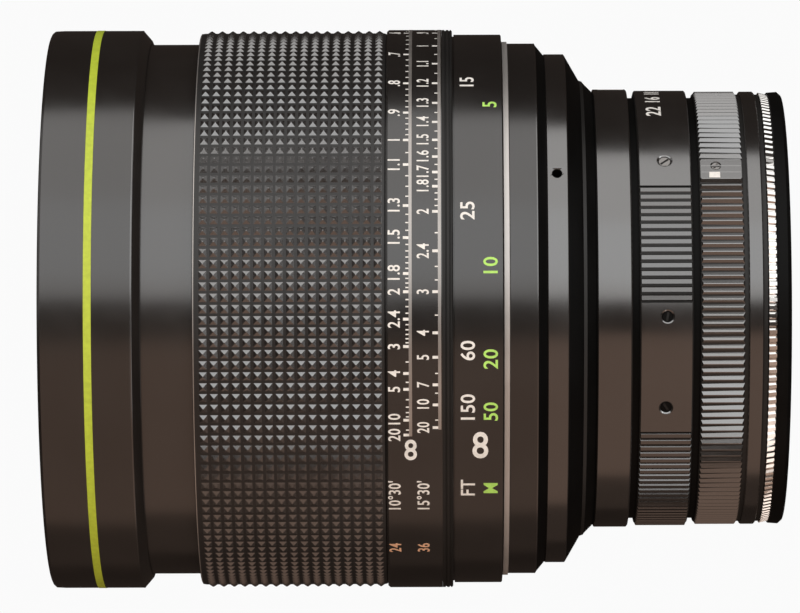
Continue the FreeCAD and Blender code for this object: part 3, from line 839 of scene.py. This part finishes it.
class LENS_OT_focusing_ring(PieceOperator, bpy.types.Operator):
    """Focusing ring with its distance and field scales"""
    bl_idname = "lens.focusing_ring"
    bl_label = "Focusing ring"

    def build(self, scene):
        sizes = scene.lens_scales
        rise = sizes.paint / MM
        front, back, top = span("focus_ring")
        grip_back = span("focus_grip")[1]
        seat, distance_radius, band = 37.48, 38.05, top - rise - 0.01
        under = distance_radius - 0.25
        step_at = grip_back + 9.0
        add_ring("focusing_ring", [
            (front, BARREL_BORE), (front, seat), (grip_back + 0.02, seat),
            (grip_back + 0.02, band - 0.25), (grip_back + 0.3, band), (step_at - 1.45, band),
            (step_at - 1.45, under), (step_at + 0.22, under), (step_at + 0.22, distance_radius),
            (back, distance_radius, 0.12), (back, BARREL_BORE),
        ], "black metal", "focus", "focus_ring")
        lined = [(step_at - 1.44, distance_radius - 0.3), (step_at - 1.44, band - 0.01)]
        for groove in (1.05, 0.5):
            start = step_at - groove
            lined += [(start, band - 0.01), (start + 0.06, band - 0.14),
                      (start + 0.16, band - 0.14), (start + 0.22, band - 0.01)]
        lined += [(step_at - 0.15, band - 0.01), (step_at, band - 0.2),
                  (step_at, distance_radius - 0.3)]
        add_ring("scale_step", lined, "matte black", "focus")
        write = partial(add_numerals, body="focus", rise=sizes.paint)
        self.add_distance_scale(sizes, distance_radius, write)
        self.add_field_scales(sizes, band, rise, write)
        for label, station, angle, radius, length in (
                ("distance", -41.9, sizes.infinity, distance_radius, 4.1 * MM),
                ("field", -51.2, sizes.field_infinity, band, 3.2 * MM)):
            write("infinity_" + label, [("8", station, angle)], length, radius, "white paint",
                  lying=True, narrow=0.82)

    def add_distance_scale(self, sizes, radius, write):
        """Both rows of numerals; a number stands where the ring is for that distance."""
        focal = sizes.focal_length
        unit_angle, foot = 129.3, 0.3048

        def at_distance(metres):
            return sizes.infinity - focal * focal / (metres - focal) / sizes.travel_per_degree

        for label, unit, length, station, paint, distances in (
                ("feet", "FT", foot, -42.65, "white paint", (5, 6, 7, 8, 10, 15, 25, 60, 150)),
                ("metres", "M", 1.0, -39.6, "green paint", (1.5, 1.7, 2, 2.5, 3, 5, 10, 20, 50))):
            marks = [(f"{d:g}", station, at_distance(d * length)) for d in distances]
            marks.append((unit, station, unit_angle))
            write("distance_" + label, marks, sizes.distance_numerals, radius, paint)

    def add_field_scales(self, sizes, band, rise, write):
        """For each side of the picture, the width that it takes in at the ring's distance."""
        angle_at, side_at, furthest = 130.6, 146.8, 22
        tall = ((0.5, 1, .02), (1, 2, .05), (2, 3, .1), (3, 5, .5), (5, 10, 1), (10, 20, 5))
        wide = ((0.7, 1.2, .05), (1.2, 2, .05), (2, 3, .2), (3, 4, .5), (4, 8, 1), (10, 20, 5))
        for label, side, line_at, foot_at, ranges, narrow, angle_text, numbers in (
                ("height", 24, -51.2, -52.6, tall, 0.82, "10°30'",
                 (.6, .7, .8, .9, 1, 1.1, 1.3, 1.5, 1.8, 2, 2.4, 3, 4, 5, 10, 20)),
                ("width", 36, -47.3, -48.75, wide, 0.72, "15°30'",
                 (.8, .9, 1, 1.1, 1.2, 1.3, 1.4, 1.5, 1.6, 1.7, 1.8, 2, 2.4, 3, 4, 5, 7, 10, 20))):

            def at_field(metres):
                return (sizes.field_infinity
                        - sizes.focal_length * (side * MM) / metres / sizes.travel_per_degree)

            first = at_field(ranges[0][0])
            line = strip(line_at - 0.21, line_at + 0.21, band - rise, band + rise)
            add_ring("field_line_" + label, line, "worn edge", "focus", first=first,
                     sweep=at_field(furthest) - first)
            ruler = []
            for number in scale_steps(ranges):
                reach, width = (0.95, 0.38) if number in numbers else (0.62, 0.17)
                ruler.append(
                    (line_at - reach, line_at - 0.21, band, at_field(number), width, rise))
            add_bars("field_ruler_" + label, "focus", *ruler)
            for kind, texts, paint, press in (
                    ("numbers_", [(f"{n:g}".lstrip("0"), foot_at, at_field(n)) for n in numbers],
                     "white paint", narrow),
                    ("angle_", [(angle_text, foot_at, angle_at)], "white paint", 0.9),
                    ("side_", [(str(side), foot_at, side_at)], "amber paint", 1.0)):
                write("field_" + kind + label, texts, sizes.field_numerals, band, paint,
                      narrow=press)


class LENS_OT_fixed_rings(PieceOperator, bpy.types.Operator):
    """Fixed rear barrel with its two rings, its cone and its index marks"""
    bl_idname = "lens.fixed_rings"
    bl_label = "Fixed rings"

    def build(self, scene):
        front, back, radius = span("rear_barrel")
        bore, journal = FIXED_BORE, 29.2
        first_back, second_front, second_back = -34.05, -32.9, -30.0
        land_front, land_back, rear_front, rear_back = -27.95, -27.5, -26.05, -21.4
        second, slope_foot, rear = 35.3, 30.05, 30.4
        add_ring("fixed_front_ring", strip(front, first_back, bore, radius, 0.1, 0.15),
                 "black metal", "mount", "rear_barrel")
        add_edge_line("fixed_edge", first_back - 0.15, radius, "glossy black", "mount")
        # The groove's walls and the rear cone are deep black: painted shade where the groove and
        # the rearward slopes fall dark
        slopes = turned(
            [(first_back, bore), (first_back, radius - 0.2), (second_front, second - 0.1),
             (second_front, bore)],
            [(second_back, bore), (second_back, second - 0.13), (land_front, 31.6),
             (land_front, bore)],
            [(land_back, bore), (land_back, 31.45), (-27.2, 31.1), (-26.15, slope_foot),
             (rear_front, slope_foot), (rear_front, bore)])
        add_piece("fixed_slopes", slopes, "deep black", "mount")
        barrel = turned(strip(second_front, second_back, bore, second, 0.15, 0.12),
                        strip(rear_front, rear_back, bore, rear, 0.1, 0.18))
        hole_at, hole_angle = -31.5, 59.2
        add_bored("fixed_barrel", barrel, "mount", second, (hole_at, hole_angle, 0.72, 5.2))
        # A near-black lining inside the hole: painted shade, so the hole reads dark
        shade_lining = collar_shape(0.715, 0.62, 0.02, 2.4)
        add_piece("fixed_hole_lining", stand(shade_lining, hole_at, second - HAIR, hole_angle),
                  "deep black", "mount")
        add_ring("fixed_land", [
            (land_front, bore), (land_front, 31.65), (land_back, 31.5), (land_back, bore),
        ], "matte black", "mount")
        # The journal in the gap before the aperture ring is deep black: painted shade in that gap
        add_ring("journal", strip(rear_back, back, bore, journal), "deep black", "mount")
        rise = scene.lens_scales.paint / MM
        add_bars("index_lines", "mount", (-37.5, -35.0, radius, 0.0, 0.45, rise),
                 (-25.3, -21.8, rear, 4.6, 0.45, rise))


class LENS_OT_aperture_ring(PieceOperator, bpy.types.Operator):
    """Aperture ring with its ribs, stop numbers and set screws"""
    bl_idname = "lens.aperture_ring"
    bl_label = "Aperture ring"

    def build(self, scene):
        ribs = scene.lens_ribs
        front, back, radius = span("aperture_ring")
        middle = (front + back) / 2
        floor = radius - ribs.height / MM
        add_ring("aperture_base", strip(front, back, REAR_RING_BORE, floor, 0.1, 0.1),
                 "matte black", "aperture", "aperture_ring")

        step = 360.0 / ribs.count
        lands = []
        for label, first, count in (("front", -87.0, 16), ("under", -235.1, 55),
                                    ("far", 58.1, 15)):
            rib = rib_shape(ribs, back - front - 0.16, 0.3, ribs.wide_top)
            add_repeated("aperture_ribs_" + label, rib, "glossy black", "aperture", count, floor,
                         middle, first_angle=first, angle_step=step)
            lands.append((first - step / 2, first + (count - 0.5) * step))
        lands.sort(key=lambda land: land[0] % 360)
        gap, half_flat = 0.25, 0.9
        shape = bmesh.new()
        for index, (_, end) in enumerate(lands):
            start = end + gap
            sweep = (lands[(index + 1) % len(lands)][0] - gap - start) % 360
            add_turning(shape, [
                (front + 0.08, floor - 0.15), (front + 0.08, radius, 0.12),
                (middle - half_flat, radius), (middle + half_flat, radius),
                (back - 0.08, radius, 0.12), (back - 0.08, floor - 0.15),
            ], first=start, sweep=sweep)
        # The second and third screws are deep black: painted shade, so their holes read dark; the
        # first is bright steel
        holes = ((middle, 48.7, 1.08, "screw steel"), (middle + 0.1, 92.2, 0.98, "deep black"),
                 (middle - 0.05, 116.4, 0.98, "deep black"))
        add_bored("aperture_plain", shape, "aperture", radius,
                  *((station, angle, size, 0.9) for station, angle, size, _ in holes))
        for number, (station, angle, size, look) in enumerate(holes, start=1):
            add_screw(f"aperture_screw_{number}", size - 0.2, 0.22, 0.3, "aperture", station,
                      radius - 0.42, angle, 40 * number, look=look)
            collar = collar_shape(size - 0.03, size - 0.19, 0.13, 0.4)
            add_piece(f"aperture_collar_{number}", stand(collar, station, radius - 0.03, angle),
                      "cut black", "aperture")
        widest, whole = -22.4, 49.3
        stops = (2.8, 4, 5.6, 8, 11, 16, 22)
        texts = [(f"{number:g}", middle - 0.2, widest + whole * place / (len(stops) - 1))
                 for place, number in enumerate(stops)]
        add_numerals("stop_numbers", texts, 2.1 * MM, radius, "white paint", "aperture",
                     scene.lens_scales.paint)


class LENS_OT_lock_ring(PieceOperator, bpy.types.Operator):
    """Lock ring with its ribs, plain band and index dot"""
    bl_idname = "lens.lock_ring"
    bl_label = "Lock ring"

    def build(self, scene):
        ribs = scene.lens_ribs
        front, back, radius = span("lock_ring")
        floor = radius - ribs.height / MM
        ribs_back, band_front, band_back = -6.2, -5.75, -3.75
        add_ring("lock_base", [
            (front, REAR_RING_BORE), (front, floor, 0.1), (band_front, floor - 0.1),
            (back, floor - 0.1), (back, REAR_RING_BORE),
        ], "matte black", "lock", "lock_ring")
        add_ring("lock_band", strip(band_front, band_back, floor - 0.2, radius, 0.14, 0.16),
                 "glossy black", "lock")
        rib = rib_shape(ribs, ribs_back - front - 0.16, 0.5, ribs.top)
        add_repeated("lock_ribs", rib, "cut black", "lock", ribs.count, floor,
                     (front + ribs_back) / 2)
        dot_station, dot_angle, dash_angle = -9.9, 50.2, 53.2
        land = strip(front + 0.12, ribs_back - 0.12, floor - 0.15, radius, 0.1, 0.1)
        add_bored("lock_land", turned(land, first=dot_angle - 1.9, sweep=6.0), "lock", radius,
                  (dot_station, dot_angle, 0.75, 0.7))
        add_screw("lock_screw", 0.66, 0.2, 0.25, "lock", dot_station, radius - 0.3, dot_angle, 60)
        add_bars("lock_dash", "lock", (-10.8, -9.35, radius, dash_angle, 0.95, 0.02))


class LENS_OT_mount_end(PieceOperator, bpy.types.Operator):
    """Bright mount ring and black end ring with its screws"""
    bl_idname = "lens.mount_end"
    bl_label = "Mount end"

    def build(self, scene):
        front, back, radius = span("chrome_mount_ring")
        height, fall = 0.2, 0.25
        floor = radius - height
        add_ring("bright_ring", [
            (front, FIXED_BORE), (front, floor, 0.05), (back, floor - fall, 0.05),
            (back, FIXED_BORE),
        ], "chrome", "mount", "chrome_mount_ring", slot="chrome")
        length = back - front - 0.06
        tooth = tapered_block(length, 1.06, length - 0.1, 0.5, -0.06, height - 0.01, fall)
        add_repeated("bright_ring_teeth", tooth, "chrome", "mount", scene.lens_ribs.count, floor,
                     (front + back) / 2, slot="chrome")
        front, back, radius = span("end_ring")
        seam = radius - 0.7
        add_ring("end_rim", [
            (front, seam), (front, radius - 0.1, 0.1), (back - 0.5, radius), (back, radius - 0.45),
            (back, seam),
        ], "deep black", "mount", slot="black_satin")
        end = object_from("end_plate", turned([
            (front, THROAT), (front, seam), (back, seam), (back, 23.6, 0.1),
            (back - 0.35, 23.45), (back - 0.35, THROAT, 0.1),
        ]), "matte black")
        screw_circle, angles = 26.6, (45, 135, 225, 315)
        for angle in angles:
            bore = cylinder(1.35, 1.0, 32)
            cut_away(end, stand(bore, back, screw_circle, angle, rearwards=True))
        carried(end, "mount", "black_satin", "end_ring")
        for number, angle in enumerate(angles):
            add_screw(f"end_screw_{number + 1}", 1.25, 0.4, 0.35, "mount", back - 0.45,
                      screw_circle, angle, 30 + 50 * number, rearwards=True)


# Stage

class LENS_OT_stage(PieceOperator, bpy.types.Operator):
    """Camera, soft lights and pale floor"""
    bl_idname = "lens.stage"
    bl_label = "Stage"

    def build(self, scene):
        self.add_camera(scene)
        for row in (("key", 46.0, 0.9, 2.4, 1.62, 1.48, (1.0, 0.985, 0.97)),
                    ("cool strip", 28.0, 0.85, 2.4, 0.5, 0.2, (0.7, 0.87, 1.0)),
                    ("warm table", -55.0, 0.8, 2.2, 1.45, 0.4, (1.0, 0.66, 0.5)),
                    ("low table", -112.0, 0.8, 2.2, 0.48, 0.075, (1.0, 0.7, 0.55))):
            self.add_panel(*row)
        fill = self.add_panel("fill", -16.0, 0.9, 1.2, 0.8, 1.4, (1.0, 0.9, 0.78))
        fill.visible_glossy = False
        self.add_lamp("front side", (-1.1, 0.1, 0.35), 0.8, 0.8, 0.5)
        self.add_lamp("rear side", (0.85, -0.75, 0.05), 0.5, 1.9, 1.1)
        rear_table = 0.345
        self.add_lamp("rear table", (rear_table, -0.3, -0.85), 0.15, 1.1, 1.25,
                      (1.0, 0.9, 0.84), rear_table)
        self.add_floor()
        self.add_backdrop(scene)

    def add_camera(self, scene):
        data = bpy.data.cameras.new("camera")
        data.sensor_width = 36.0
        data.lens = 266.8
        data.shift_x = -0.05
        data.clip_start, data.clip_end = 0.05, 20.0
        camera = new_object("camera", data)
        camera.location = (-0.04724, -0.825, 0.00028)
        camera.rotation_euler = (math.radians(90), math.radians(0.15), 0)
        scene.camera = camera

    def add_lamp(self, name, place, size_x, size_y, radiance, colour=(1, 1, 1), faces=MIDDLE):
        """A soft lamp that faces a station of the optical axis."""
        data = bpy.data.lights.new(name, "AREA")
        data.shape = "RECTANGLE"
        data.size, data.size_y = size_x, size_y
        data.energy = radiance * math.pi * size_x * size_y
        data.color = colour
        lamp = new_object(name, data)
        lamp.location = place
        aim = Vector((faces, 0, 0)) - Vector(place)
        lamp.rotation_euler = aim.to_track_quat("-Z", "Y").to_euler()
        return lamp

    def add_panel(self, name, elevation, distance, width, height, radiance, colour):
        """A panel square to the lens's middle, at an elevation above the camera's side."""
        angle = math.radians(elevation)
        place = (MIDDLE, -distance * math.cos(angle), distance * math.sin(angle))
        return self.add_lamp(name, place, width, height, radiance, colour)

    def add_floor(self):
        shape = bmesh.new()
        bmesh.ops.create_grid(shape, x_segments=1, y_segments=1, size=6.0)
        bmesh.ops.translate(shape, verts=shape.verts, vec=(0, 0, cad_box[0].z))
        floor = object_from("floor", shape, "floor", smooth=False)
        floor.visible_diffuse = floor.visible_glossy = False
        floor.visible_transmission = floor.visible_shadow = False

    def add_backdrop(self, scene):
        """A pale world for the camera and a dim one for everything else."""
        world = bpy.data.worlds.new("studio")
        world.use_nodes = True
        tree = world.node_tree
        make = node_maker(tree)
        seen = tree.nodes["Background"]
        seen.inputs["Color"].default_value = PALE
        dim = make("ShaderNodeBackground", {"Color": (0.03, 0.022, 0.018, 1)})
        mix = make("ShaderNodeMixShader", Fac=make("ShaderNodeLightPath").outputs["Is Camera Ray"])
        tree.links.new(dim.outputs[0], mix.inputs[1])
        tree.links.new(seen.outputs[0], mix.inputs[2])
        feed(tree, tree.nodes["World Output"], Surface=mix)
        scene.world = world
        scene.view_settings.view_transform = "Standard"


OPERATORS = (
    LENS_OT_hood, LENS_OT_front, LENS_OT_inside, LENS_OT_grip, LENS_OT_focusing_ring,
    LENS_OT_fixed_rings, LENS_OT_aperture_ring, LENS_OT_lock_ring, LENS_OT_mount_end,
    LENS_OT_stage,
)


class LENS_PT_pieces(bpy.types.Panel):
    """Sidebar panel that lists the lens's pieces and sizes"""
    bl_label = "Telephoto lens"
    bl_idname = "LENS_PT_pieces"
    bl_space_type = "VIEW_3D"
    bl_region_type = "UI"
    bl_category = "Lens"

    def draw(self, context):
        for name, group in PROPERTY_GROUPS:
            box = self.layout.box()
            settings = getattr(context.scene, name)
            for setting in group.__annotations__:
                box.prop(settings, setting)
        for operator in OPERATORS:
            self.layout.operator(operator.bl_idname)


def register():
    for name, group in PROPERTY_GROUPS:
        bpy.utils.register_class(group)
        setattr(bpy.types.Scene, name, PointerProperty(type=group))
    for operator in OPERATORS:
        bpy.utils.register_class(operator)
    bpy.utils.register_class(LENS_PT_pieces)


def unregister():
    bpy.utils.unregister_class(LENS_PT_pieces)
    for operator in reversed(OPERATORS):
        bpy.utils.unregister_class(operator)
    for name, group in reversed(PROPERTY_GROUPS):
        delattr(bpy.types.Scene, name)
        bpy.utils.unregister_class(group)


def main():
    register()
    for operator in OPERATORS:
        family, name = operator.bl_idname.split(".")
        getattr(getattr(bpy.ops, family), name)()


if __name__ == "__main__":
    main()
